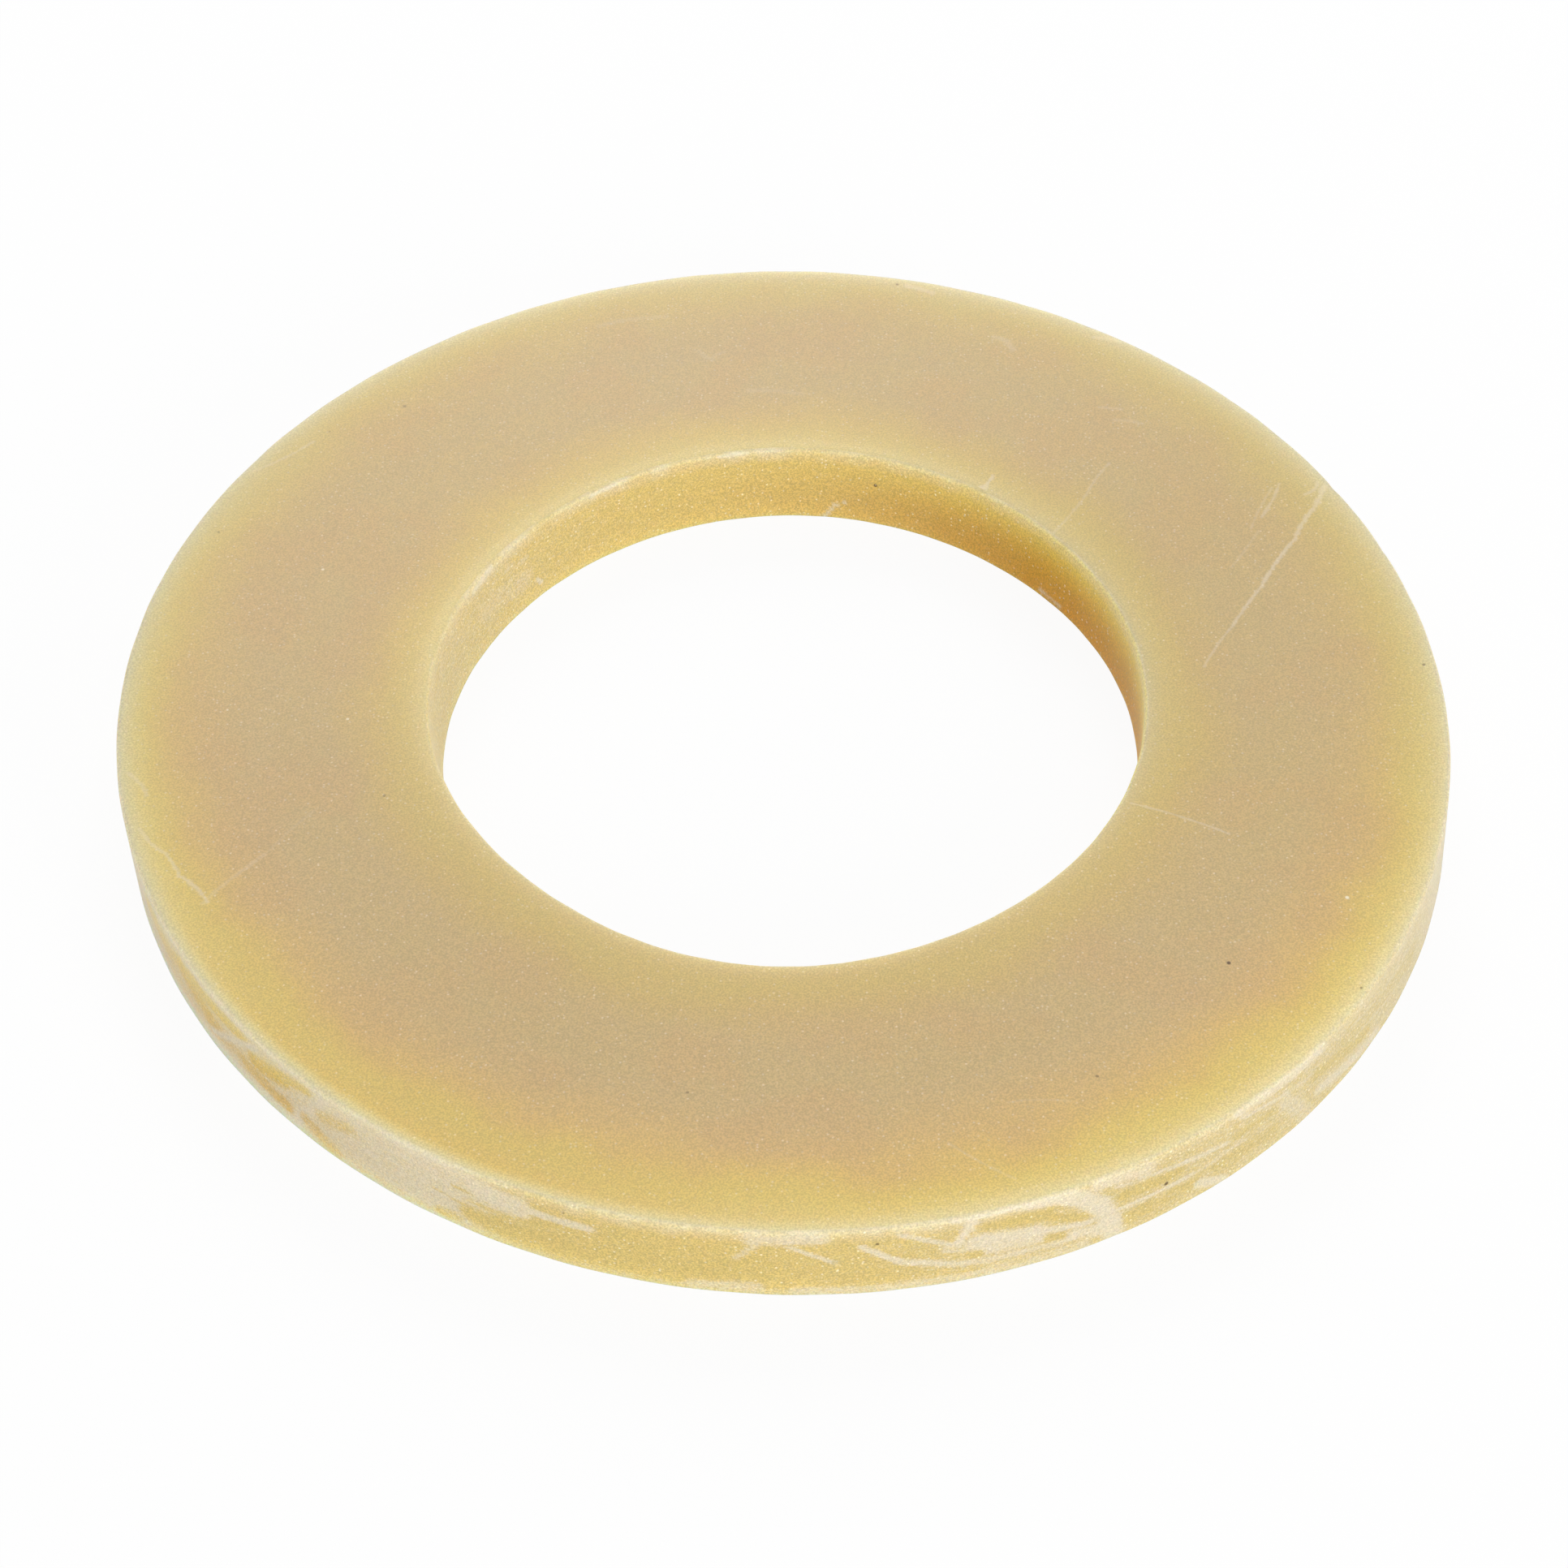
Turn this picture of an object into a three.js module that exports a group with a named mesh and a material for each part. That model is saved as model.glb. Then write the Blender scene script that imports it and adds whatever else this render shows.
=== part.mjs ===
// Flush valve seal: a flat ring of soft rubber, cut from sheet in one piece.
// Millimetres, +Z up. The ring lies flat, and the origin is the centre of its underside.

import * as THREE from 'three';

// Driving dimensions

const rimDiameter = 82.55; // across the ring, at its upper face
const boreDiameter = 44.45; // across the hole, at the upper face
const thickness = 5.7; // height of the ring as it lies
const rimLean = 0.14; // how far the outer wall leans outwards on its way down
const boreLean = 0.33; // how far the hole's wall leans inwards on its way down
const edgeRadius = 0.3; // rounding along each of the four cut edges

// Fineness of the mesh

const sidesAround = 144;
const stepsPerEdge = 3;

// Share of a wall that the rounding at one end may take, on a ring too thin for edgeRadius
const largestEdgeShare = 0.45;

// Finish

const rubberColour = '#ceb589';
const rubberRoughness = 0.55;

// One rounded corner of a section: the arc that touches both sides of the corner,
// as points in the order that the section runs. Where a side is too short for the
// radius, the arc is as large as that side has room for.
function roundedCorner(before, corner, after, radius) {
  const towardsBefore = before.clone().sub(corner);
  const towardsAfter = after.clone().sub(corner);
  const halfAngle = Math.abs(towardsBefore.angleTo(towardsAfter)) / 2;
  const shorterSide = Math.min(towardsBefore.length(), towardsAfter.length());
  const setback = Math.min(radius / Math.tan(halfAngle), shorterSide * largestEdgeShare);
  const arcRadius = setback * Math.tan(halfAngle);

  towardsBefore.normalize();
  towardsAfter.normalize();
  const inwards = towardsBefore.clone().add(towardsAfter).normalize();
  const centre = corner.clone().addScaledVector(inwards, arcRadius / Math.sin(halfAngle));
  const start = corner.clone().addScaledVector(towardsBefore, setback).sub(centre);
  const end = corner.clone().addScaledVector(towardsAfter, setback).sub(centre);
  const sweep = Math.atan2(start.cross(end), start.dot(end));

  const points = [];
  for (let step = 0; step <= stepsPerEdge; step += 1) {
    const turned = start.clone().rotateAround(new THREE.Vector2(), (sweep * step) / stepsPerEdge);
    points.push(turned.add(centre));
  }
  return points;
}

// The ring's section, radius against height: underside, outer wall, upper face
// and the wall of the hole, closed on itself.
function ringSection() {
  const rimRadius = rimDiameter / 2;
  const boreRadius = boreDiameter / 2;
  const corners = [
    new THREE.Vector2(boreRadius - boreLean, 0),
    new THREE.Vector2(rimRadius + rimLean, 0),
    new THREE.Vector2(rimRadius, thickness),
    new THREE.Vector2(boreRadius, thickness),
  ];
  const section = corners.flatMap((corner, index) => {
    const before = corners.at(index - 1);
    const after = corners[(index + 1) % corners.length];
    return roundedCorner(before, corner, after, edgeRadius);
  });
  section.push(section[0].clone());
  return section;
}

// The ring itself: its section turned about the upright axis.
function sealRing() {
  const geometry = new THREE.LatheGeometry(ringSection(), sidesAround);
  geometry.rotateX(Math.PI / 2);
  const rubber = new THREE.MeshStandardMaterial({
    color: rubberColour,
    roughness: rubberRoughness,
    metalness: 0,
  });
  const ring = new THREE.Mesh(geometry, rubber);
  ring.name = 'seal_ring';
  return ring;
}

const seal = new THREE.Group();
seal.add(sealRing());

export default seal;
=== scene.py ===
"""Flush valve seal: a soft ring of cloudy amber rubber, lying flat in soft studio light.

Places and lengths are millimetres up to the point where Blender gets them, in metres.
Azimuth is counted in degrees from +X towards +Y, and height from the ring's underside.
"""

import math

import bpy
import numpy as np
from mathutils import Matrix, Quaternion, Vector


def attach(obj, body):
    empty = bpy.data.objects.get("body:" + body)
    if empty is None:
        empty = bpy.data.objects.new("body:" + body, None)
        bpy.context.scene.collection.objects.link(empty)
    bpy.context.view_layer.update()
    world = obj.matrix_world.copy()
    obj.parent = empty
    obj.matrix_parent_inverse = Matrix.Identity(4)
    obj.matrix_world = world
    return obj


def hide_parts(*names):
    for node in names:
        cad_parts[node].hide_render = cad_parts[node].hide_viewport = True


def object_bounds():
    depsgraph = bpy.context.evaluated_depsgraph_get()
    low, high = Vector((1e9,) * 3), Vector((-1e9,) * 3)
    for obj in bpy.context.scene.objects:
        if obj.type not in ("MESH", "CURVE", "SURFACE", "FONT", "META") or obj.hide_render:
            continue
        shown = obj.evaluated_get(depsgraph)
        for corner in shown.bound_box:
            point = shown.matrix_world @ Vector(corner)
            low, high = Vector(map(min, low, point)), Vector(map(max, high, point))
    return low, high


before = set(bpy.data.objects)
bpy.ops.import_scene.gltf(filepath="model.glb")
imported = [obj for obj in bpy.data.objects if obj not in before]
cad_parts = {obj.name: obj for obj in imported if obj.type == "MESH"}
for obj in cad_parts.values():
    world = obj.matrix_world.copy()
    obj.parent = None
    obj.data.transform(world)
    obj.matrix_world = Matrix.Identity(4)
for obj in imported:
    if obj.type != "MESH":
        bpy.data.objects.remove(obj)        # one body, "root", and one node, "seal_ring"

MM = 0.001
CAD_LOW, CAD_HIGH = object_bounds()

# The ring's outlines: mean radius at the upper face, how far the wall leans out on its way
# down, the centre, and the waves that keep the outline from being a true circle, each as
# (waves around the ring, cosine share, sine share).
THICKNESS = (CAD_HIGH.z - CAD_LOW.z) / MM
RIM = {
    "radius": 41.15,
    "lean": 0.15,
    "centre": (-0.10, -0.10),
    "waves": ((2, 0.0, -0.095), (3, -0.115, -0.099), (4, 0.041, -0.012), (47, 0.006, 0.008)),
}
BORE = {
    "radius": 22.18,
    "lean": -0.33,
    "centre": (0.07, 0.09),
    "waves": ((2, 0.018, 0.034), (3, -0.031, 0.004), (4, 0.113, 0.004), (5, -0.026, -0.037),
              (6, -0.013, 0.027), (31, 0.008, -0.006)),
}
# The cut runs slightly out of square: the underside's outlines sit this far to the side.
UNDERSIDE_SHIFT = (0.28, 0.01)

# Rounding of the upper and of the lower cut edges, the share by which it wavers along them,
# and the room that the mesh's rows of faces leave for it on both sides of a corner
EDGE_RADIUS = 0.24
UNDER_RADIUS = 0.09
EDGE_WAVER = 0.2
EDGE_ROOM = 0.45
# Nicks, where the rounding is wider, each as (azimuth, half width, extra radius)
RIM_NICKS = ((28.0, 0.6, 0.14), (231.0, 0.7, 0.08), (300.0, 0.8, 0.08), (19.0, 0.5, 0.08))
BORE_NICKS = ((56.0, 0.5, 0.12), (122.0, 0.6, 0.08), (150.0, 0.6, 0.06), (98.0, 0.5, 0.06))
# How far the upper face sags between its edges
FACE_SAG = 0.02

# How far light travels inside the rubber: less under the film and cuts of the walls, and less
# still at their foot, from the lower of the two heights to the upper one
FACE_SCATTER = 3.0
WALL_SCATTER = 1.6
FOOT_SCATTER = 0.75
FOOT_RISE = (0.2, 1.5)

# Sizes of the rubber's fine grain, of its softer unevenness, of the cells that may hold a
# bright fleck, and how deep all of it is as relief
GRAIN_SIZE = 0.11
SOFT_SIZE = 1.6
FLECK_CELL = 0.28
RELIEF_DEPTH = 0.03
# Size of the faces' clouds, and the most that the rosier colour takes over in them
CLOUD_SIZE = 7.0
ROSY_SHARE = 0.30
# Roughness from the low to the high spots of the grain, and what film adds to it
ROUGHNESS = (0.46, 0.54)
FILM_ROUGHNESS = 0.15
# How far the grain lightens and darkens the colour, how strong the flecks are, and what is
# added to both on the walls
GRAIN_DEPTH = 0.13
WALL_GRAIN_DEPTH = 0.06
FLECK_STRENGTH = 0.34
WALL_FLECK_STRENGTH = 0.45
# The most that film hides of the amber, and how deep a scratch is next to the grain
FILM_COVER = 0.85
SCRATCH_DEPTH = 1.6

# Rows of faces in the ring's section, and steps around it
STEPS_AROUND = 960
ROWS = {"upper": 18, "under": 10, "rim": 24, "bore": 16, "edge": 5}

# Pale film smeared on the walls: a base by azimuth, and strokes painted over it in order, each
# as azimuth and height at both ends, half width, and how much film it leaves. 0 is clear amber,
# below 0 it is free of dust too, and 1 is white film. Heights are shares of the thickness.
RIM_FILM_BASE = ((0, 0.6), (180, 0.6), (200, 0.85), (208, 0.6), (222, 0.6), (233, 0.75),
                 (243, 0.8), (250, 0.15), (262, 0.04), (276, 0.10), (285, 0.3), (296, 0.3),
                 (312, 0.38), (322, 0.4), (335, 0.48), (345, 0.7), (360, 0.6))
# The film that lies over every stroke
RIM_FILM_LEAST = ((0, 0.2), (230, 0.0), (258, 0.0), (275, 0.05), (295, 0.05), (310, 0.12),
                  (345, 0.2), (360, 0.2))
# Least film at the foot of the rim, in full up to the first height and none above the second
RIM_FOOT_FILM = 0.45
RIM_FOOT_FILM_REACH = (0.06, 0.16)
RIM_STROKES = (
    (204, 0.68, 208.5, 0.58, 0.9, 0.42),
    (211, 0.68, 216.5, 0.42, 0.9, 0.22),
    (213, 0.76, 221, 0.80, 0.55, 0.20),
    (218, 0.42, 221, 0.34, 0.45, 0.50),
    (200, 0.06, 226, 0.06, 0.75, 0.9),
    (203, 0.98, 233, 0.98, 0.36, 0.8),
    (216, 0.28, 223, 0.85, 0.24, 0.95),
    (222.5, 0.56, 226, 0.70, 0.66, 0.13),
    (226, 0.74, 229, 0.85, 0.42, 0.25),
    (221, 0.36, 226, 0.28, 0.6, 0.30),
    (227, 0.05, 228, 0.35, 0.40, 0.95),
    (228, 0.35, 231, 0.85, 0.40, 0.95),
    (228.5, 0.30, 231.5, 0.12, 0.6, 0.40),
    (230.5, 0.58, 233.5, 0.68, 0.55, 0.45),
    (234, 0.10, 241, 0.08, 0.3, 0.6),
    (242, 0.12, 243.5, 0.14, 0.4, 0.30),
    (244.8, 0.30, 247, 0.28, 0.6, 0.05),
    (247, 0.28, 258, 0.22, 0.75, 0.02),
    (243.5, 0.66, 250, 0.56, 0.12, 0.25),
    (241.5, 0.46, 246.5, 0.40, 0.10, 0.35),
    (244.5, 0.52, 249, 0.47, 0.08, 0.3),
    (250.5, 0.86, 254, 0.85, 0.35, 0.12),
    (246, 0.75, 249, 0.70, 0.9, 0.85),
    (249, 0.71, 255, 0.69, 0.32, 0.8),
    (266.5, 0.58, 268.0, 0.80, 0.22, 0.6),
    (267.5, 0.88, 273, 0.90, 0.50, 0.6),
    (270.5, 0.78, 274, 0.52, 0.17, 0.75),
    (276, 0.75, 279, 0.46, 0.24, 0.8),
    (279, 0.46, 284, 0.28, 0.28, 0.75),
    (284, 0.28, 292, 0.22, 0.28, 0.7),
    (279, 0.88, 283, 0.62, 0.20, 0.75),
    (284.8, 0.98, 283.4, 0.58, 0.28, 0.9),
    (282.6, 0.54, 285.5, 0.50, 0.30, 0.6),
    (285, 0.58, 290, 0.50, 0.62, 0.88),
    (289, 0.52, 294.5, 0.40, 0.24, 0.85),
    (286, 0.42, 290, 0.38, 0.40, 0.75),
    (292.5, 0.26, 295.5, 0.22, 0.55, 0.8),
    (286, 0.12, 294, 0.12, 0.45, 0.4),
    (284.4, 0.40, 285.2, 0.38, 0.28, 0.1),
    (291, 0.34, 292.2, 0.32, 0.26, 0.12),
    (283, 0.97, 288, 0.98, 0.22, 0.8),
    (288.6, 0.98, 292.6, 0.90, 0.38, 0.9),
    (292.6, 0.90, 295.2, 0.60, 0.60, 0.95),
    (295.2, 0.60, 296.2, 0.30, 0.58, 0.95),
    (296.2, 0.30, 296.6, 0.02, 0.66, 0.95),
    (286, 0.82, 290.5, 0.76, 0.45, 0.03),
    (290.5, 0.72, 293.8, 0.50, 0.28, 0.03),
    (295.0, 0.92, 299.6, 0.86, 0.50, 0.65),
    (263, 0.08, 268, 0.12, 0.50, 0.6),
    (271, 0.06, 294, 0.05, 0.45, 0.6),
    (297.3, 0.60, 302.5, 0.59, 0.38, 0.03),
    (298.0, 0.24, 304, 0.27, 0.48, 0.15),
    (300.5, 0.82, 306, 0.86, 0.38, 0.30),
    (296, 0.42, 304, 0.42, 0.17, 0.85),
    (304, 0.42, 309, 0.47, 0.13, 0.6),
    (296.5, 0.80, 299.0, 0.76, 0.24, 0.6),
    (298.6, 0.78, 301.5, 0.70, 0.10, 0.8),
    (301.5, 0.70, 307, 0.60, 0.17, 0.8),
    (304.5, 0.20, 307, 0.04, 0.36, 0.85),
    (306.5, 0.30, 312, 0.28, 0.60, 0.18),
    (308, 0.62, 313, 0.56, 0.30, 0.15),
    (308, 0.96, 318, 0.92, 0.40, 0.75),
    (311, 0.44, 316, 0.42, 0.45, 0.35),
    (308.4, 0.84, 314, 0.70, 0.13, 0.75),
    (314, 0.70, 319.5, 0.60, 0.12, 0.6),
    (313.5, 0.60, 316.5, 0.10, 0.55, 0.6),
    (317.6, 0.58, 325, 0.36, 0.50, 0.15),
    (318, 0.28, 327, 0.08, 0.40, 0.8),
    (322, 0.66, 334, 0.40, 0.9, 0.30),
    (320, 0.80, 331, 0.62, 0.14, 0.5),
    (323, 0.52, 332, 0.30, 0.10, 0.55),
    (348, 0.80, 372, 0.55, 1.10, 0.42),
    (5, 0.15, 30, 0.30, 0.90, 0.48),
    (22, 0.85, 52, 0.62, 1.00, 0.44),
    (44, 0.20, 74, 0.35, 1.20, 0.40),
    (60, 0.62, 84, 0.90, 0.50, 0.75),
    (78, 0.60, 104, 0.30, 1.00, 0.45),
    (100, 0.90, 131, 0.75, 0.90, 0.42),
    (112, 0.10, 140, 0.40, 0.80, 0.50),
    (134, 0.55, 150, 0.80, 0.60, 0.74),
    (146, 0.30, 178, 0.15, 1.00, 0.44),
    (165, 0.78, 190, 0.62, 0.70, 0.46),
)
BORE_FILM_BASE = ((0, -0.08), (30, -0.06), (45, 0.02), (60, 0.05), (110, 0.08), (140, 0.24),
                  (150, 0.35), (165, 0.43), (200, 0.35), (300, 0.12), (340, 0.0), (360, -0.08))
BORE_STROKES = (
    (83.5, 0.02, 82, 0.18, 0.16, 0.8),
    (82, 0.18, 80, 0.26, 0.12, 0.8),
    (41, 0.10, 36, 0.06, 0.22, 0.7),
    (139.5, 0.26, 138.6, 0.18, 0.14, 1.0),
    (153, 0.50, 143, 0.40, 0.90, 0.48),
    (148, 0.78, 141, 0.66, 0.14, 0.55),
    (126, 0.95, 121, 0.98, 0.16, 0.9),
    (156, 0.92, 150, 0.96, 0.20, 0.9),
    (102, 0.96, 97, 0.98, 0.14, 0.8),
)

# How bright the pale line along the upper cut edges is, by azimuth: partly wear and film on the
# edge, partly painted highlight where the lamps catch the rounding and painted light where
# they miss it
RIM_LINE = ((0, 0.05), (140, 0.05), (160, 0.12), (205, 0.25), (222, 0.42), (245, 0.6), (262, 0.7),
            (285, 0.62), (300, 0.45), (320, 0.38), (335, 0.28), (350, 0.15), (360, 0.05))
BORE_LINE = ((0, 0.3), (25, 0.42), (40, 0.55), (60, 0.55), (75, 0.5), (85, 0.52), (93, 0.78),
             (100, 0.78), (106, 0.58), (112, 0.72), (118, 0.76), (128, 0.6), (137, 0.48),
             (142, 0.72), (152, 0.68), (160, 0.4), (185, 0.15), (205, 0.2), (360, 0.3))
# The same along the lower cut edges, where the line is painted light on a rounding that faces
# down, and how far each of the two lines fades into the wall
UNDER_LINE = 0.25
LINE_DEPTH = 1.15
UNDER_LINE_DEPTH = 0.35

# How much of the shaded amber the walls have, by azimuth
RIM_SHADE = ((0, 0.0), (195, 0.0), (206, 0.45), (226, 0.45), (245, 0.0), (360, 0.0))
BORE_SHADE = ((0, 1.0), (32, 1.0), (40, 0.88), (48, 0.72), (56, 0.62), (66, 0.45), (76, 0.32),
              (86, 0.2), (100, 0.1), (115, 0.03), (140, 0.0), (300, 0.1), (340, 1.0), (360, 1.0))
# How bright the rim's wall is, by azimuth: painted light and shade
RIM_TONE = ((0, 0.95), (190, 1.25), (203, 1.20), (209, 1.12), (220, 1.09), (240, 1.04),
            (260, 1.0), (280, 0.95), (300, 0.89), (345, 0.87), (360, 0.95))
# How much brighter the walls get towards their foot, which light leaves through the underside,
# and the share of the height over which they do. The brightening is painted light.
RIM_FOOT_GAIN = ((0, 0.0), (195, 0.10), (208, 0.42), (225, 0.36), (240, 0.24), (255, 0.18),
                 (280, 0.12), (320, 0.04), (335, 0.0), (360, 0.0))
BORE_FOOT_GAIN = 0.14
FOOT_REACH = 0.32
# The same painted light for the last bit above the lower cut edge
RIM_LIP_GAIN = ((0, 0.0), (195, 0.2), (205, 0.25), (240, 0.3), (252, 0.08), (290, 0.0),
                (325, 0.05), (335, 0.0), (360, 0.0))
BORE_LIP_GAIN = 0.06
LIP_REACH = 0.18
# How bright and how warm the middle of the upper face is, by azimuth
FACE_TONE = ((0, 0.97), (30, 0.95), (60, 0.97), (90, 0.99), (120, 1.01), (175, 1.0), (195, 0.98),
             (240, 0.985), (270, 1.015), (300, 1.01), (330, 1.0), (360, 0.97))
FACE_WARMTH = ((0, 0.5), (30, 1.0), (60, 0.6), (90, 0.3), (105, 0.1), (135, 0.5), (165, 0.1),
               (195, 0.0), (240, 0.3), (270, 0.1), (285, 0.3), (315, 0.1), (330, 0.4), (345, 0.8),
               (360, 0.5))

# Dark specks in the walls: the wall's edge, azimuth, height share, radius and darkness
WALL_SPECKS = (
    (RIM, 277.3, 0.78, 0.10, 0.7),
    (RIM, 253.0, 0.84, 0.08, 0.5),
    (RIM, 301.2, 0.49, 0.13, 0.9),
    (BORE, 75.2, 0.59, 0.12, 0.9),
)

# Scratches on the upper face: both ends, how far the middle bows to the left, half width
# and how pale it is.
SCRATCHES = (
    ((36.3, 19.9), (35.2, 18.9), 0.05, 0.27, 0.38),
    ((35.3, 19.1), (34.4, 17.0), 0.10, 0.28, 0.45),
    ((34.5, 17.2), (32.9, 14.0), -0.10, 0.24, 0.43),
    ((33.0, 14.2), (30.4, 9.6), -0.15, 0.20, 0.46),
    ((30.5, 9.8), (28.2, 5.9), -0.08, 0.18, 0.39),
    ((28.3, 6.1), (26.2, 2.4), -0.10, 0.14, 0.27),
    ((35.0, 19.6), (34.0, 18.4), 0.20, 0.18, 0.30),
    ((32.4, 19.4), (31.0, 16.2), 0.10, 0.18, 0.30),
    ((31.9, 19.0), (30.2, 15.1), -0.10, 0.13, 0.17),
    ((30.6, 14.8), (28.6, 11.4), 0.05, 0.15, 0.13),
    ((21.3, 21.3), (19.6, 18.2), -0.10, 0.14, 0.21),
    ((19.7, 18.4), (17.2, 14.4), 0.10, 0.16, 0.20),
    ((13.5, 19.9), (12.9, 18.9), 0.05, 0.20, 0.45),
    ((12.9, 18.9), (12.4, 18.3), 0.05, 0.42, 0.55),
    ((20.9, 26.9), (22.4, 26.7), 0.05, 0.20, 0.15),
    ((21.9, 25.6), (23.8, 25.3), 0.10, 0.24, 0.13),
    ((21.0, 34.2), (22.7, 33.7), 0.10, 0.24, 0.35),
    ((14.2, 34.1), (15.3, 32.9), 0.20, 0.40, 0.20),
    ((8.2, 39.5), (9.9, 38.8), 0.10, 0.32, 0.35),
    ((20.9, -9.3), (26.6, -11.7), 0.15, 0.13, 0.32),
    ((-38.7, -12.1), (-37.0, -14.0), -0.15, 0.17, 0.34),
    ((-37.0, -14.0), (-35.9, -15.8), 0.10, 0.19, 0.38),
    ((-35.9, -15.8), (-34.0, -17.8), 0.20, 0.22, 0.42),
    ((-34.3, -17.9), (-31.0, -14.0), 0.10, 0.20, 0.17),
    ((-31.0, -14.0), (-28.2, -10.2), 0.10, 0.13, 0.10),
    ((-40.1, -7.5), (-38.7, -9.3), 0.20, 0.22, 0.28),
    ((-35.4, 19.8), (-31.7, 22.8), -0.20, 0.16, 0.26),
    ((9.2, -35.0), (12.8, -37.4), -0.10, 0.12, 0.18),
    ((12.6, -32.1), (16.1, -32.0), 0.15, 0.12, 0.12),
    ((-13.1, 35.0), (-8.6, 36.0), 0.20, 0.30, 0.12),
    ((-6.2, 32.4), (-5.3, 31.5), -0.10, 0.26, 0.12),
    ((-5.4, 31.5), (-4.5, 32.3), 0.10, 0.22, 0.10),
    ((-2.7, 28.3), (0.9, 28.0), 0.15, 0.34, 0.10),
)
# Specks in the upper face: place, radius and how dark it is (below 0 is pale)
SPECKS = (
    ((25.8, -21.8), 0.11, 0.95),
    ((17.7, -30.2), 0.09, 0.6),
    ((7.5, 39.7), 0.10, 0.5),
    ((25.6, 31.7), 0.09, 0.5),
    ((40.0, 2.7), 0.10, 0.6),
    ((-25.9, 26.4), 0.10, 0.5),
    ((-29.9, 10.5), 0.09, -0.8),
    ((-37.0, 13.9), 0.08, 0.5),
    ((-30.7, 23.8), 0.07, 0.4),
    ((-24.3, -9.2), 0.09, 0.5),
    ((-5.4, -31.6), 0.08, 0.5),
    ((33.3, -23.6), 0.08, 0.6),
    ((33.2, -16.7), 0.11, -0.9),
    ((-27.1, -2.8), 0.09, -0.7),
    ((-34.6, -2.1), 0.07, -0.6),
)
# How far a mark spreads, in half widths or radii
MARK_SPREAD = 1.5
# The marks go into one material for each sector of this many degrees, and a place farther than
# MARK_REACH from all marks has none
SECTOR_ANGLE = 45
MARK_REACH = 1.0


def srgb(text):
    """A colour written as six hex digits, as the linear values that Blender takes."""
    values = [int(text[i:i + 2], 16) / 255 for i in (0, 2, 4)]
    linear = [v / 12.92 if v <= 0.04045 else ((v + 0.055) / 1.055) ** 2.4 for v in values]
    return (*linear, 1.0)


# The upper face's rosier clouds, and what its colour is multiplied by where it is warmer
ORANGE = srgb("cfab76")
WARM = (1.0, 0.995, 0.88)
# The clear walls, the yellower band beside the rim, which is painted light, the film, the pale
# line along the upper cut edges, partly wear and film and partly painted highlight, the pale
# line along the lower cut edges, which is painted light, and the marks
AMBER = srgb("d8c17a")
YELLOW = srgb("d8bf6e")
FILM = srgb("e4dac4")
CUT_LINE = srgb("e2dac3")
FOOT_LINE = srgb("ffdda0")
SCRATCH = srgb("e6dabf")
DARK_SPECK = srgb("5c4020")
PALE_SPECK = srgb("f6ecd0")
# The flat faces' colours at distances from the rim and from the bore, as painted light: light
# that comes in through a cut wall turns the rubber yellow, and then pale right beside it, and
# more so where the lamps reach that wall. This glow is painted into the colour.
RIM_NEAR_TINTS = ((0.0, "cbc3a4"), (0.5, "ddd19f"), (1.2, "decd7f"), (2.2, "ddc66f"),
                  (3.6, "dabb6f"), (5.5, "d4b478"), (8.5, "c8af7e"))
RIM_FAR_TINTS = ((0.0, "bfbaa9"), (0.5, "cac297"), (1.2, "d1c183"), (2.2, "d1ba78"),
                 (3.6, "cfb57a"), (5.5, "cbb17b"), (8.5, "c8af7e"))
BORE_NEAR_TINTS = ((0.0, "bdb08a"), (0.5, "c7b77e"), (1.2, "cdb873"), (2.2, "ceb672"),
                   (3.6, "cdb273"), (6.0, "c8af7e"))
BORE_FAR_TINTS = ((0.0, "c4b47c"), (0.5, "dacb92"), (1.2, "d6c27c"), (2.2, "d6bd78"),
                  (3.6, "d3b777"), (6.0, "c8af7e"))
# The shaded amber of a wall, at heights above the underside
SHADED_TINTS = ((0, "d69d30"), (1.1, "d69e31"), (2.0, "d7a334"), (2.85, "ddae3e"), (3.7, "e3be53"),
                (4.45, "e7cd66"), (5.0, "ead67e"), (5.7, "ebd88b"))
# Share of the near tints by azimuth, and where the band beside the rim is more yellow still,
# both painted light
RIM_NEAR = ((0, 0.3), (30, 0.0), (150, 0.0), (180, 0.35), (200, 0.72), (230, 1.0), (325, 1.0),
            (345, 0.6), (360, 0.3))
RIM_YELLOW = ((0, 0.0), (200, 0.0), (222, 0.9), (245, 1.0), (265, 0.4), (285, 0.0), (360, 0.0))
BORE_NEAR = ((0, 1.0), (30, 0.9), (60, 0.4), (85, 0.0), (165, 0.0), (190, 0.6), (220, 1.0),
             (360, 1.0))

# The studio: strength of the even light, the floor's grey, how much of the floor glows white
# for the camera, its half width in metres, and how far it lies below the ring
EVEN_LIGHT = 0.52
FLOOR_GREY = (0.96, 0.96, 0.96, 1.0)
FLOOR_GLOW = 0.92
FLOOR_SIZE = 3.0
FLOOR_DROP = 0.02
WHITE = (1.0, 1.0, 1.0, 1.0)


def outline(edge, turn, height):
    """X and Y of an edge of the ring at the turns (radians) and height share given."""
    radius = edge["radius"] + edge["lean"] * (1 - height)
    for count, cosine, sine in edge["waves"]:
        radius = radius + cosine * np.cos(count * turn) + sine * np.sin(count * turn)
    x = edge["centre"][0] + UNDERSIDE_SHIFT[0] * (1 - height) + radius * np.cos(turn)
    y = edge["centre"][1] + UNDERSIDE_SHIFT[1] * (1 - height) + radius * np.sin(turn)
    return x, y


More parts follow.
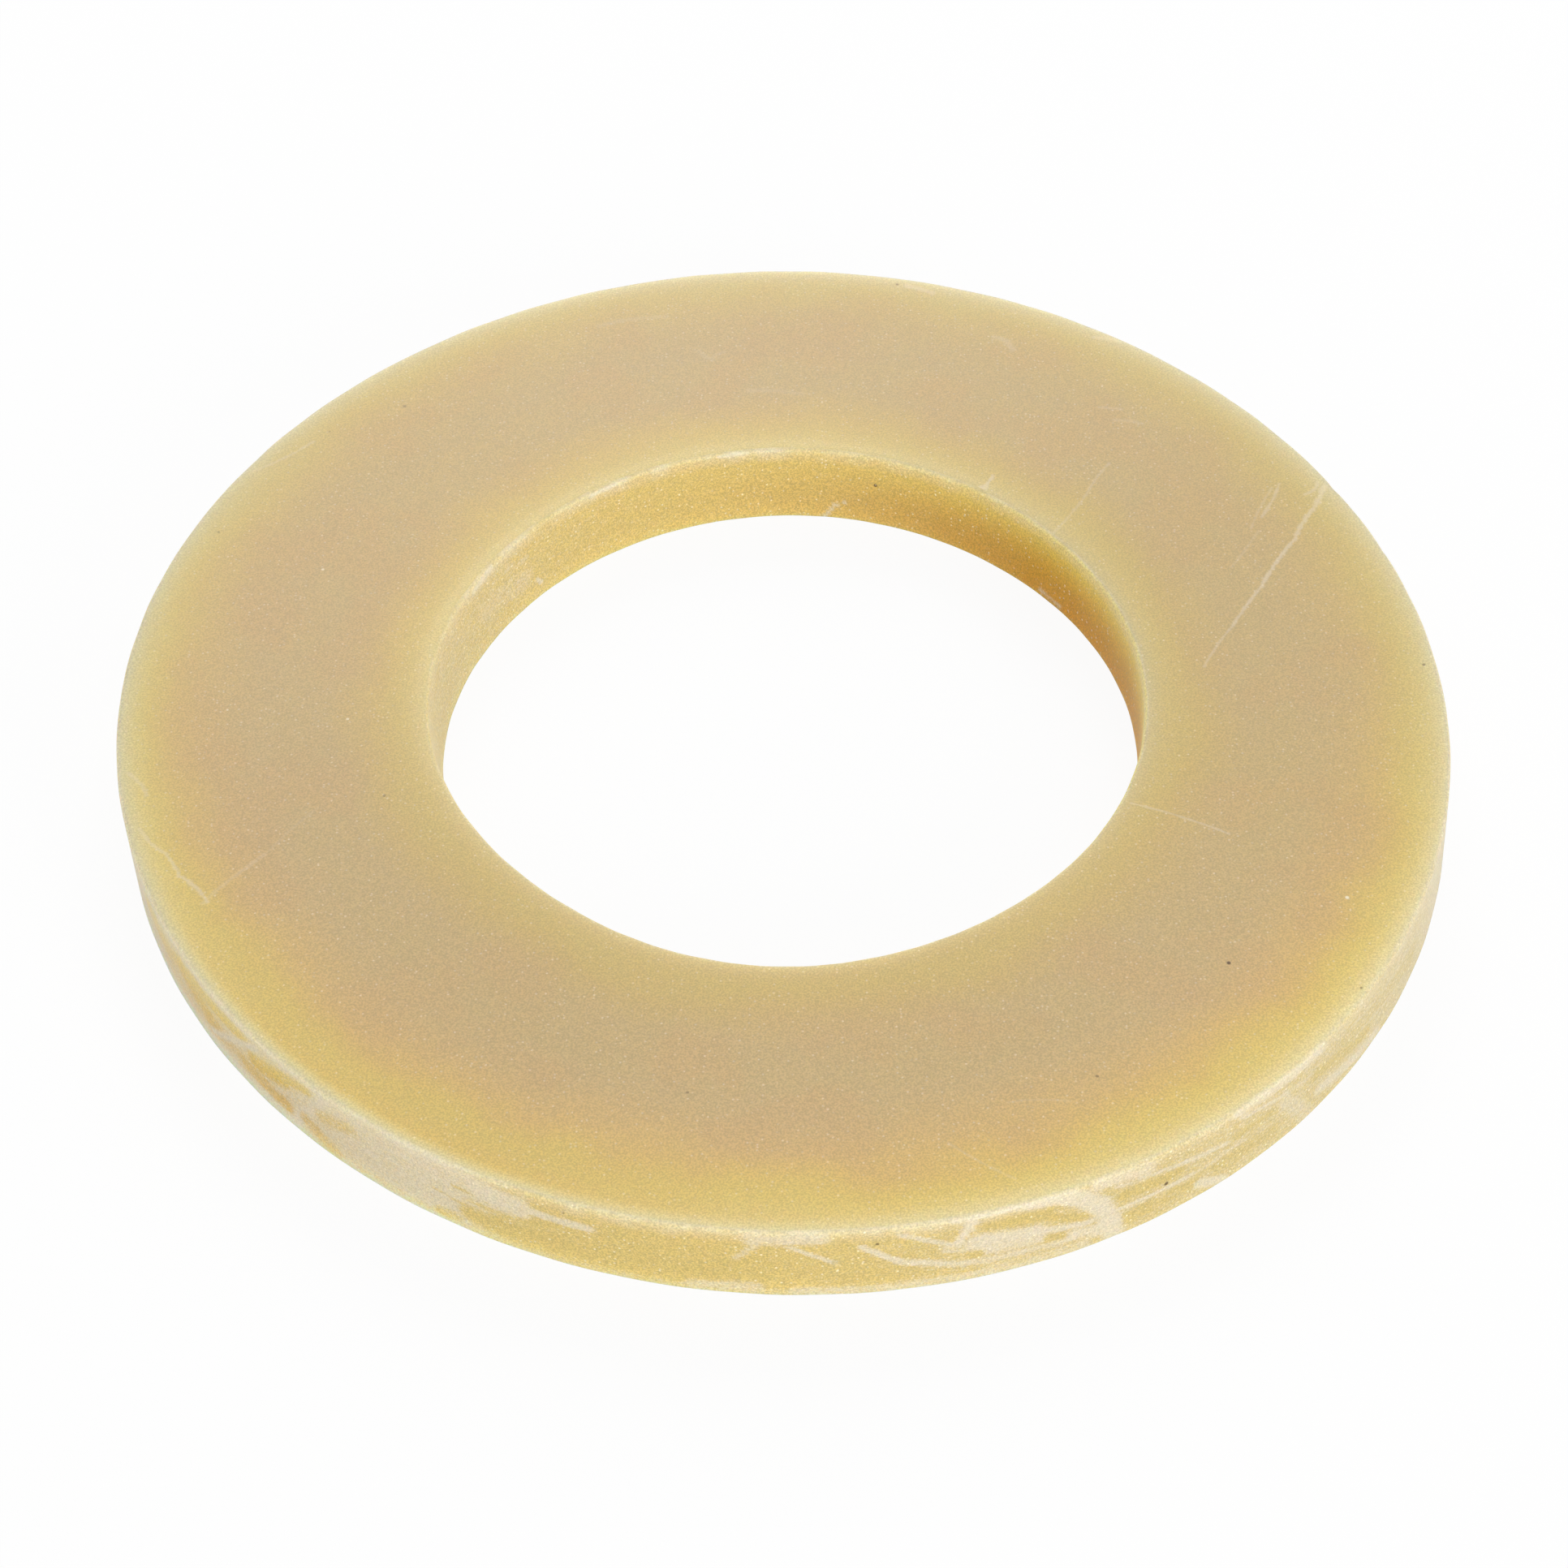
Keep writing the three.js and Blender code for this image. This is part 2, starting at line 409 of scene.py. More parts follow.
def edge_radii(edge, turn, radius, nicks, phase):
    """Rounding of a cut edge at each turn: a little uneven, and wider at the nicks."""
    # Waves that go 9, 23 and 61 times around the ring, 1.5 high at most
    waver = np.sin(9 * turn + phase) * np.sin(23 * turn + 2 * phase) + 0.5 * np.sin(61 * turn)
    radii = radius * (1 + EDGE_WAVER * waver / 1.5)
    for azimuth, half_width, extra in nicks:
        apart = np.angle(np.exp(1j * (turn - math.radians(azimuth)))) * edge["radius"]
        radii = radii + extra * np.exp(-((apart / half_width) ** 2))
    return radii


def arc(count):
    """Shares (from the flat, towards the wall) of a quarter circle, both ends included."""
    angles = np.linspace(0, math.pi / 2, count + 1)
    return list(zip(np.sin(angles), 1 - np.cos(angles)))


def section_rows():
    """The section as rows, each (share from bore to rim, height share, which edge's
    rounding moves it, inward share, drop share). It runs from the bore's upper edge over
    the upper face, down the rim, under the ring and up the bore."""
    rows = []
    rounding = arc(ROWS["edge"])

    def face(height, start, end, count):
        for step in range(1, count):
            rows.append((start + (end - start) * step / count, height, None, 0, 0))

    def wall(side, start, end, count):
        room = (end - start) * EDGE_ROOM / THICKNESS
        for height in np.linspace(start + room, end - room, count - 1):
            rows.append((side, height, None, 0, 0))

    def corner(side, height, from_face):
        order = rounding if from_face else rounding[::-1]
        for along, down in order:
            rows.append((side, height, (side, height), 1 - along, down))

    corner(0, 1, False)
    face(1, 0, 1, ROWS["upper"])
    corner(1, 1, True)
    wall(1, 1, 0, ROWS["rim"])
    corner(1, 0, False)
    face(0, 1, 0, ROWS["under"])
    corner(0, 0, True)
    wall(0, 0, 1, ROWS["bore"])
    return rows


def around(azimuth, knots):
    """A value by azimuth, between knots that each give (azimuth, value)."""
    return np.interp(azimuth % 360, [knot[0] for knot in knots], [knot[1] for knot in knots])


def painted_film(azimuth, height, radius, base, strokes):
    """How much pale film lies at each point of a wall, from the base and the strokes."""
    film = around(azimuth, base)
    up = height * THICKNESS
    for start_azimuth, start_height, end_azimuth, end_height, half_width, amount in strokes:
        middle = (start_azimuth + end_azimuth) / 2
        across = np.radians((azimuth - middle + 180) % 360 - 180) * radius
        run = np.array([math.radians(end_azimuth - start_azimuth) * radius,
                        (end_height - start_height) * THICKNESS])
        from_x = across + run[0] / 2
        from_y = up - start_height * THICKNESS
        share = np.clip((from_x * run[0] + from_y * run[1]) / (run @ run), 0, 1)
        away = np.hypot(from_x - share * run[0], from_y - share * run[1]) / half_width
        # In full up to half of the half width, and gone at one and a half of it
        cover = np.clip(1.5 - away, 0, 1)
        cover = cover * cover * (3 - 2 * cover)
        film = film + (amount - film) * cover
    return film


def ring_mesh():
    """The ring as one closed mesh, with what the material needs to know at each vertex."""
    turn = np.arange(STEPS_AROUND) * 2 * math.pi / STEPS_AROUND
    radii = {
        (1, 1): edge_radii(RIM, turn, EDGE_RADIUS, RIM_NICKS, 0.3),
        (1, 0): edge_radii(RIM, turn, UNDER_RADIUS, (), 1.7),
        (0, 1): edge_radii(BORE, turn, EDGE_RADIUS, BORE_NICKS, 2.6),
        (0, 0): edge_radii(BORE, turn, UNDER_RADIUS, (), 4.1),
    }
    places = []
    facts = []
    for side, height, corner, inward, drop in section_rows():
        rounding = radii[corner] if corner else 0
        z = height + (drop * rounding / THICKNESS) * (1 - 2 * height)
        at_bore = np.column_stack(outline(BORE, turn, z))
        at_rim = np.column_stack(outline(RIM, turn, z))
        width = np.linalg.norm(at_rim - at_bore, axis=1)
        on_wall = corner is None and side in (0, 1)
        if corner:
            share = side + (1 - 2 * side) * inward * rounding / width
        elif on_wall:
            share = np.full_like(width, side)
        else:
            share = (EDGE_ROOM + side * (width - 2 * EDGE_ROOM)) / width
        flat = at_bore + (at_rim - at_bore) * share[:, None]
        dip = FACE_SAG * np.sin(share * math.pi) ** 2 if not on_wall and not corner else 0
        up = z * THICKNESS - dip * height + np.zeros_like(turn)
        places.append(np.column_stack([flat, up]))
        from_rim = (1 - share) * width
        from_bore = share * width
        to_lid = np.minimum(up, THICKNESS - up)
        facts.append(np.column_stack([from_rim, from_bore, to_lid]))
    return np.array(places), np.array(facts)


def vertex_values(places, facts):
    """What the material reads at each vertex: distances, film, tones and tints, by name."""
    from_rim, from_bore, to_lid = np.moveaxis(facts, 2, 0)
    from_edge = np.minimum(from_rim, from_bore)
    near_rim = from_rim < from_bore
    azimuth = np.degrees(np.arctan2(places[:, :, 1], places[:, :, 0]))
    height = places[:, :, 2] / THICKNESS
    rim_film = painted_film(azimuth, height, RIM["radius"], RIM_FILM_BASE, RIM_STROKES)
    least = around(azimuth, RIM_FILM_LEAST)
    rim_film = least + rim_film * (1 - least)
    rim_film = np.maximum(rim_film, np.interp(height, RIM_FOOT_FILM_REACH, (RIM_FOOT_FILM, 0)))
    bore_film = painted_film(azimuth, height, BORE["radius"], BORE_FILM_BASE, BORE_STROKES)
    # Painted light and shade: the walls' tone by azimuth, brighter towards the foot and the lip
    to_foot = np.clip(1 - height / FOOT_REACH, 0, 1)
    rim_tone = around(azimuth, RIM_TONE) * (1 + around(azimuth, RIM_FOOT_GAIN) * to_foot)
    wall_tone = np.where(near_rim, rim_tone, 1 + BORE_FOOT_GAIN * to_foot)
    to_lip = np.clip(1 - height / LIP_REACH, 0, 1)
    lip_gain = np.where(near_rim, around(azimuth, RIM_LIP_GAIN), BORE_LIP_GAIN)
    wall_tone = wall_tone * (1 + lip_gain * to_lip)
    on_face = from_edge > EDGE_ROOM / 2
    # The pale cut-edge lines: partly wear and film, partly painted highlight and painted light
    line = np.where(near_rim, around(azimuth, RIM_LINE), around(azimuth, BORE_LINE))
    upper = height > 0.5
    line = np.where(upper, line, UNDER_LINE)
    line_depth = np.where(upper, LINE_DEPTH, UNDER_LINE_DEPTH)
    over_face = np.clip(1.4 - from_edge / EDGE_RADIUS, 0, 1)
    down_wall = np.clip(1 - to_lid / line_depth, 0, 1)
    line = line * over_face * down_wall
    return {
        "from_rim": from_rim,
        "from_bore": from_bore,
        # The near share and the yellow band carry painted light into the faces' colour
        "near": np.where(near_rim, around(azimuth, RIM_NEAR), around(azimuth, BORE_NEAR)),
        "line": line,
        "film": np.where(near_rim, rim_film, bore_film),
        "shade": np.where(near_rim, around(azimuth, RIM_SHADE), around(azimuth, BORE_SHADE)),
        "tone": np.where(on_face, around(azimuth, FACE_TONE), wall_tone),
        "warmth": around(azimuth, FACE_WARMTH),
        "yellow": np.where(near_rim, around(azimuth, RIM_YELLOW), 0.0),
    }


def build_ring():
    """Makes the ring's object from the rows, and stores the material's facts on it."""
    places, facts = ring_mesh()
    rows = len(places)
    vertices = places.reshape(-1, 3) * MM
    quads = []
    for row in range(rows):
        below = (row + 1) % rows
        for step in range(STEPS_AROUND):
            beside = (step + 1) % STEPS_AROUND
            quads.append((row * STEPS_AROUND + step, below * STEPS_AROUND + step,
                          below * STEPS_AROUND + beside, row * STEPS_AROUND + beside))
    mesh = bpy.data.meshes.new("rubber_ring")
    mesh.from_pydata(vertices.tolist(), [], quads)
    mesh.update()
    mesh.shade_smooth()

    for name, value in vertex_values(places, facts).items():
        attribute = mesh.attributes.new(name, "FLOAT", "POINT")
        attribute.data.foreach_set("value", value.astype(np.float32).ravel())

    ring = bpy.data.objects.new("rubber_ring", mesh)
    bpy.context.scene.collection.objects.link(ring)
    return ring, places


class Shader:
    """Adds nodes to a tree, so that a formula can be written as calls."""

    def __init__(self, tree):
        self.tree = tree

    def add(self, kind, inputs=(), **settings):
        node = self.tree.nodes.new(kind)
        for name, value in settings.items():
            setattr(node, name, value)
        for key, value in dict(inputs).items():
            self.put(value, node.inputs[key])
        return node

    def put(self, value, socket):
        if isinstance(value, bpy.types.NodeSocket):
            self.tree.links.new(value, socket)
        else:
            socket.default_value = value

    def calc(self, operation, first, second=0.0, clamp=False):
        inputs = {0: first, 1: second}
        return self.add("ShaderNodeMath", inputs, operation=operation, use_clamp=clamp).outputs[0]

    def times(self, first, second):
        return self.calc("MULTIPLY", first, second)

    def plus(self, first, second):
        return self.calc("ADD", first, second)

    def ramp(self, value, low, high, start=0.0, end=1.0):
        inputs = {"Value": value, "From Min": low, "From Max": high, "To Min": start, "To Max": end}
        node = self.add("ShaderNodeMapRange", inputs, interpolation_type="SMOOTHSTEP")
        return node.outputs["Result"]

    def mix(self, share, first, second):
        # Of this node's sockets, inputs 6 and 7 and output 2 are the colours
        node = self.add("ShaderNodeMix", data_type="RGBA")
        self.put(share, node.inputs["Factor"])
        self.put(first, node.inputs[6])
        self.put(second, node.inputs[7])
        return node.outputs[2]

    def shade(self, colour, scale):
        """A colour made brighter or darker by a number."""
        if isinstance(colour, tuple):
            colour = colour[:3]
        node = self.add("ShaderNodeVectorMath", {0: colour}, operation="SCALE")
        self.put(scale, node.inputs["Scale"])
        return node.outputs[0]

    def tints(self, distance, knots):
        """A colour by distance: smooth between the knots, each (distance, colour)."""
        reach = knots[-1][0]
        node = self.add("ShaderNodeValToRGB", {"Fac": self.calc("DIVIDE", distance, reach)})
        node.color_ramp.interpolation = "B_SPLINE"
        stops = node.color_ramp.elements
        for place, colour in knots[1:-1]:
            stops.new(place / reach).color = srgb(colour)
        stops[0].color = srgb(knots[0][1])
        stops[-1].color = srgb(knots[-1][1])
        return node.outputs["Color"]

    def fact(self, name):
        return self.add("ShaderNodeAttribute", attribute_name=name).outputs["Fac"]

    def noise(self, place, size, detail=2.0, roughness=0.5):
        inputs = {"Vector": place, "Scale": 1 / size, "Detail": detail, "Roughness": roughness}
        return self.add("ShaderNodeTexNoise", inputs).outputs["Fac"]

    def height(self, place):
        return self.add("ShaderNodeSeparateXYZ", {0: place}).outputs["Z"]

    def stretched(self, place, scale):
        inputs = {0: place, 1: scale}
        return self.add("ShaderNodeVectorMath", inputs, operation="MULTIPLY").outputs[0]


def mark_group():
    """A node group that gives the strength of one scratch at a place: a line with a bow."""
    group = bpy.data.node_groups.new("scratch_mark", "ShaderNodeTree")
    for name, kind in (("Place", "NodeSocketVector"), ("Start", "NodeSocketVector"),
                       ("Run", "NodeSocketVector"), ("Bow", "NodeSocketVector"),
                       ("Half Width", "NodeSocketFloat"), ("Waver", "NodeSocketFloat")):
        group.interface.new_socket(name, in_out="INPUT", socket_type=kind)
    group.interface.new_socket("Strength", in_out="OUTPUT", socket_type="NodeSocketFloat")
    shader = Shader(group)
    given = shader.add("NodeGroupInput").outputs
    made = shader.add("NodeGroupOutput").inputs

    def vector(operation, *inputs):
        return shader.add("ShaderNodeVectorMath", enumerate(inputs), operation=operation)

    offset = vector("SUBTRACT", given["Place"], given["Start"]).outputs[0]
    reach = vector("DOT_PRODUCT", offset, given["Run"]).outputs["Value"]
    whole = vector("DOT_PRODUCT", given["Run"], given["Run"]).outputs["Value"]
    share = shader.calc("DIVIDE", reach, whole, clamp=True)
    foot = vector("SCALE", given["Run"])
    shader.put(share, foot.inputs["Scale"])
    rest = shader.calc("SUBTRACT", 1.0, share)
    hump = shader.times(shader.times(share, rest), 4.0)
    bowed = vector("SCALE", given["Bow"])
    shader.put(hump, bowed.inputs["Scale"])
    aside = vector("SUBTRACT", offset, foot.outputs[0]).outputs[0]
    aside = vector("SUBTRACT", aside, bowed.outputs[0]).outputs[0]
    away = vector("LENGTH", aside).outputs["Value"]
    away = shader.calc("DIVIDE", away, given["Half Width"])
    away = shader.plus(away, given["Waver"])
    # The mark is in full near its middle line, and gone just past its half width
    shader.put(shader.ramp(away, 1.15, 0.1), made["Strength"])
    return group


def scratches(shader, place, listed):
    """Strength of the scratches at a place."""
    group = mark_group()
    waver = shader.ramp(shader.noise(place, 0.5, detail=3.0, roughness=0.6), 0.3, 0.7, -0.30, 0.35)
    strongest = 0.0
    for start, end, bow, half_width, strength in listed:
        run = Vector(end) - Vector(start)
        left = Vector((-run.y, run.x)).normalized() * bow
        mark = shader.add("ShaderNodeGroup", node_tree=group)
        shader.put(place, mark.inputs["Place"])
        shader.put(waver, mark.inputs["Waver"])
        mark.inputs["Start"].default_value = (*start, 0)
        mark.inputs["Run"].default_value = (*run, 0)
        mark.inputs["Bow"].default_value = (*left, 0)
        mark.inputs["Half Width"].default_value = half_width
        strongest = shader.calc("MAXIMUM", strongest, shader.times(mark.outputs[0], strength))
    return strongest


def wall_specks():
    """The walls' specks, each with its place in the ring."""
    found = []
    for edge, azimuth, height, radius, darkness in WALL_SPECKS:
        x, y = outline(edge, math.radians(azimuth), height)
        found.append(((x, y, height * THICKNESS), radius, darkness))
    return found


def specks(shader, place, listed):
    """Strength of the dark and of the pale specks at a place."""
    found = {True: 0.0, False: 0.0}
    for centre, radius, darkness in listed:
        inputs = {0: place, 1: centre}
        apart = shader.add("ShaderNodeVectorMath", inputs, operation="DISTANCE").outputs["Value"]
        here = shader.ramp(apart, radius * MARK_SPREAD, radius * 0.6)
        here = shader.times(here, abs(darkness))
        dark = darkness > 0
        found[dark] = shader.calc("MAXIMUM", found[dark], here)
    return found[True], found[False]


def face_colour(shader, place, from_rim, from_bore):
    """The flat faces: tan, turning yellow and then pale towards a cut edge, as painted light."""
    # Clouds move the tints by less than a millimetre, and only away from the edges
    cloud = shader.noise(place, CLOUD_SIZE, detail=3.0, roughness=0.55)
    cloud = shader.ramp(cloud, 0.3, 0.7, -1.0, 1.0)
    waver = shader.times(cloud, shader.ramp(from_rim, 0.6, 4.0, 0.0, 0.7))
    away_rim = shader.plus(from_rim, waver)
    near = shader.fact("near")
    rim_side = shader.mix(near, shader.tints(away_rim, RIM_FAR_TINTS),
                          shader.tints(away_rim, RIM_NEAR_TINTS))
    waver = shader.times(cloud, shader.ramp(from_bore, 0.6, 4.0, 0.0, 0.6))
    away_bore = shader.plus(from_bore, waver)
    bore_side = shader.mix(near, shader.tints(away_bore, BORE_FAR_TINTS),
                           shader.tints(away_bore, BORE_NEAR_TINTS))
    # A band beside the rim is more yellow still, as painted light
    band = shader.times(shader.ramp(away_rim, 0.2, 1.2), shader.ramp(away_rim, 5.0, 1.8))
    rim_side = shader.mix(shader.times(band, shader.fact("yellow")), rim_side, YELLOW)
    nearer_rim = shader.calc("LESS_THAN", from_rim, from_bore)
    colour = shader.mix(nearer_rim, bore_side, rim_side)
    from_edge = shader.calc("MINIMUM", from_rim, from_bore)
    # The middle has rosier clouds, and is warmer and brighter by azimuth
    inside = shader.ramp(from_edge, 2.0, 6.0)
    rosy = shader.times(shader.times(shader.ramp(cloud, -0.2, 0.8), inside), ROSY_SHARE)
    colour = shader.mix(rosy, colour, ORANGE)
    inside = shader.ramp(from_edge, 0.6, 3.0)
    warm = shader.add("ShaderNodeVectorMath", {0: colour, 1: WARM}, operation="MULTIPLY")
    warmth = shader.times(shader.fact("warmth"), inside)
    colour = shader.mix(warmth, colour, warm.outputs[0])
    brighter = shader.times(shader.calc("SUBTRACT", shader.fact("tone"), 1.0), inside)
    return shader.shade(colour, shader.plus(brighter, 1.0))


def wall_colour(shader, place, film, tone):
    """The cut walls: clear amber, deeper lower down where shade is painted, under a pale film,
    which frays into streaks and dust. The tone brightens and darkens them as painted light and
    shade."""
    streaks = shader.noise(shader.stretched(place, (0.5, 0.5, 2.2)), 0.45, detail=1.0)
    dust = shader.noise(place, 0.13, detail=1.0)
    # Streaks and dust each add or take up to about a tenth of the film
    fray = shader.plus(shader.ramp(streaks, 0.25, 0.75, -0.09, 0.09),
                       shader.ramp(dust, 0.3, 0.7, -0.12, 0.12))
    film_here = shader.ramp(shader.plus(film, fray), 0.05, 1.0)
    height = shader.height(place)
    amber = shader.mix(shader.fact("shade"), AMBER, shader.tints(height, SHADED_TINTS))
    pale = shader.shade(FILM, shader.plus(shader.times(tone, 0.5), 0.5))
    cover = shader.times(film_here, FILM_COVER)
    return shader.mix(cover, shader.shade(amber, tone), pale), film_here


def rubber(name, walls=False, marks=None):
    """The rubber of one region: walls adds the cut walls and their edges, and marks adds
    some scratches and specks of the upper face, so that no region works out what it can't
    show."""
    material = bpy.data.materials.new(name)
    material.use_nodes = True
    material.node_tree.nodes.clear()
    shader = Shader(material.node_tree)

    where = shader.add("ShaderNodeTexCoord").outputs["Object"]
    place = shader.stretched(where, (1 / MM,) * 3)
    from_rim = shader.fact("from_rim")
    from_bore = shader.fact("from_bore")
    grain = shader.noise(place, GRAIN_SIZE, detail=1.0, roughness=0.4)
    relief = None
    rough = shader.ramp(grain, 0.3, 0.7, *ROUGHNESS)
    fleck_strength = FLECK_STRENGTH
    grain_depth = GRAIN_DEPTH
    scatter = FACE_SCATTER * MM
    colour = face_colour(shader, place, from_rim, from_bore)

    if walls:
        from_edge = shader.calc("MINIMUM", from_rim, from_bore)
        on_wall = shader.ramp(from_edge, EDGE_RADIUS * 0.8, EDGE_RADIUS * 0.1)
        wall, film_here = wall_colour(shader, place, shader.fact("film"), shader.fact("tone"))
        colour = shader.mix(on_wall, colour, wall)
        soft = shader.noise(place, SOFT_SIZE)
        # The pale cut-edge lines: partly wear and film, partly painted highlight and painted light
        line = shader.times(shader.fact("line"), shader.ramp(soft, 0.3, 0.7, 0.5, 1.1))
        height = shader.height(place)
        scatter = shader.ramp(height, *FOOT_RISE, FOOT_SCATTER * MM, WALL_SCATTER * MM)
        low = shader.calc("LESS_THAN", height, THICKNESS / 2)
        colour = shader.mix(line, colour, shader.mix(low, CUT_LINE, FOOT_LINE))
        rough = shader.plus(rough, shader.times(shader.times(film_here, on_wall), FILM_ROUGHNESS))
        relief = shader.plus(grain, soft)
        fleck_strength = shader.plus(shader.times(on_wall, WALL_FLECK_STRENGTH), fleck_strength)
        clear = shader.calc("SUBTRACT", 1.0, film_here)
        on_clear = shader.times(on_wall, clear)
        grain_depth = shader.plus(shader.times(on_clear, WALL_GRAIN_DEPTH), grain_depth)
        dark = specks(shader, place, wall_specks())[0]
        colour = shader.mix(dark, colour, DARK_SPECK)

    # Bright flecks, and a fine grain of light and dark
    cells = shader.add("ShaderNodeTexVoronoi", {"Vector": place, "Scale": 1 / FLECK_CELL})
    chosen = shader.add("ShaderNodeSeparateColor", {"Color": cells.outputs["Color"]}).outputs[0]
    fleck = shader.times(shader.ramp(cells.outputs["Distance"], 0.36, 0.12),
                         shader.ramp(chosen, 0.55, 0.95))
    colour = shader.mix(shader.times(fleck, fleck_strength), colour, PALE_SPECK)
    grainy = shader.times(shader.ramp(grain, 0.25, 0.75, -1.0, 1.0), grain_depth)
    colour = shader.shade(colour, shader.plus(grainy, 1.0))

    if marks:
        flat = shader.stretched(place, (1.0, 1.0, 0.0))
        scratched = scratches(shader, flat, marks["scratches"])
        colour = shader.mix(scratched, colour, SCRATCH)
        dark, pale = specks(shader, flat, marks["specks"])
        colour = shader.mix(dark, colour, DARK_SPECK)
        colour = shader.mix(pale, colour, PALE_SPECK)
        relief = shader.times(scratched, -SCRATCH_DEPTH)

    surface = shader.add("ShaderNodeBsdfPrincipled", {
        "Base Color": colour,
        "Roughness": rough,
        "IOR": 1.5,
        "Specular IOR Level": 0.4,
        "Subsurface Weight": 1.0,
        "Subsurface Radius": (1.0, 0.7, 0.35),
        "Subsurface Scale": scatter,
    })
    if relief:
        bump = {"Strength": 0.3, "Distance": RELIEF_DEPTH * MM, "Height": relief}
        shader.put(shader.add("ShaderNodeBump", bump).outputs["Normal"], surface.inputs["Normal"])
    surface.subsurface_method = "RANDOM_WALK"
    output = shader.add("ShaderNodeOutputMaterial")
    shader.put(surface.outputs[0], output.inputs["Surface"])
    return material


def marks_by_sector():
    """The upper face's marks, sorted into sectors around the ring, so that each sector's
    material works out only a few of them."""
    sectors = {}

    def sector_at(x, y):
        number = int(math.degrees(math.atan2(y, x)) % 360 // SECTOR_ANGLE)
        return sectors.setdefault(number, {"scratches": [], "specks": []})

    for scratch in SCRATCHES:
        middle = np.add(scratch[0], scratch[1]) / 2
        sector_at(*middle)["scratches"].append(scratch)
    for (x, y), radius, darkness in SPECKS:
        sector_at(x, y)["specks"].append(((x, y, 0), radius, darkness))
    return [sectors[number] for number in sorted(sectors)]


def nearest_marks(places, first_row, last_row, sectors):
    """For each face of the upper side, 1 + the sector of the mark that it may show, or 0."""
    corners = places[first_row:last_row + 1, :, :2]
    across = (corners[:-1] + corners[1:]) / 2
    middles = (across + np.roll(across, -1, axis=1)) / 2
    nearest = np.full(middles.shape[:2], MARK_REACH)
    found = np.zeros(middles.shape[:2], dtype=np.int32)
    for number, marks in enumerate(sectors, start=1):
        apart = []
        for start, end, bow, half_width, _ in marks["scratches"]:
            run = np.subtract(end, start)
            share = np.clip((middles - start) @ run / (run @ run), 0, 1)
            away = np.linalg.norm(middles - start - share[..., None] * run, axis=2)
            apart.append(away - half_width * MARK_SPREAD - abs(bow))
        for (x, y, _), radius, _ in marks["specks"]:
            apart.append(np.linalg.norm(middles - (x, y), axis=2) - radius * MARK_SPREAD)
        for away in apart:
            found[away < nearest] = number
            nearest = np.minimum(nearest, away)
    return found


def dress_ring():
    """Puts the finished ring in the place of the CAD ring."""
    ring, places = build_ring()
    sectors = marks_by_sector()
    ring.data.materials.append(rubber("rubber_walls", walls=True))
    ring.data.materials.append(rubber("rubber_face"))
    for number, marks in enumerate(sectors, start=1):
        ring.data.materials.append(rubber(f"rubber_face_{number}", marks=marks))
    slots = np.zeros(places.shape[:2], dtype=np.int32)
    upper_first = ROWS["edge"]
    upper_last = upper_first + ROWS["upper"]
    under_first = upper_last + ROWS["edge"] + ROWS["rim"] + ROWS["edge"]
    slots[under_first:under_first + ROWS["under"]] = 1
    slots[upper_first:upper_last] = 1 + nearest_marks(places, upper_first, upper_last, sectors)
    ring.data.polygons.foreach_set("material_index", slots.ravel())
    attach(ring, "root")
    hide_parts("seal_ring")


def camera_ray_mix(shader, seen, lit):
    """The first shader where the camera or a gloss sees it, and the second for all light."""
    rays = shader.add("ShaderNodeLightPath").outputs
    direct = shader.calc("MAXIMUM", rays["Is Camera Ray"], rays["Is Glossy Ray"])
    direct = shader.calc("MAXIMUM", direct, rays["Is Transmission Ray"])
    return shader.add("ShaderNodeMixShader", {0: direct, 1: lit, 2: seen}).outputs[0]


def build_floor():
    """A white floor, brightened for the camera so that only the ring's soft shadow shows."""
    mesh = bpy.data.meshes.new("studio_floor")
    corners = [(x * FLOOR_SIZE, y * FLOOR_SIZE, 0) for x, y in ((-1, -1), (1, -1), (1, 1), (-1, 1))]
    mesh.from_pydata(corners, [], [(0, 1, 2, 3)])
    floor = bpy.data.objects.new("studio_floor", mesh)
    floor.location.z = -FLOOR_DROP * MM
    bpy.context.scene.collection.objects.link(floor)
    material = bpy.data.materials.new("studio_floor")
    material.use_nodes = True
    material.node_tree.nodes.clear()
    shader = Shader(material.node_tree)
    matt = shader.add("ShaderNodeBsdfDiffuse", {"Color": FLOOR_GREY}).outputs[0]
    glow = shader.add("ShaderNodeEmission", {"Color": WHITE, "Strength": 1.0}).outputs[0]
    seen = shader.add("ShaderNodeMixShader", {0: FLOOR_GLOW, 1: matt, 2: glow}).outputs[0]
    output = shader.add("ShaderNodeOutputMaterial")
    shader.put(camera_ray_mix(shader, seen, matt), output.inputs["Surface"])
    mesh.materials.append(material)


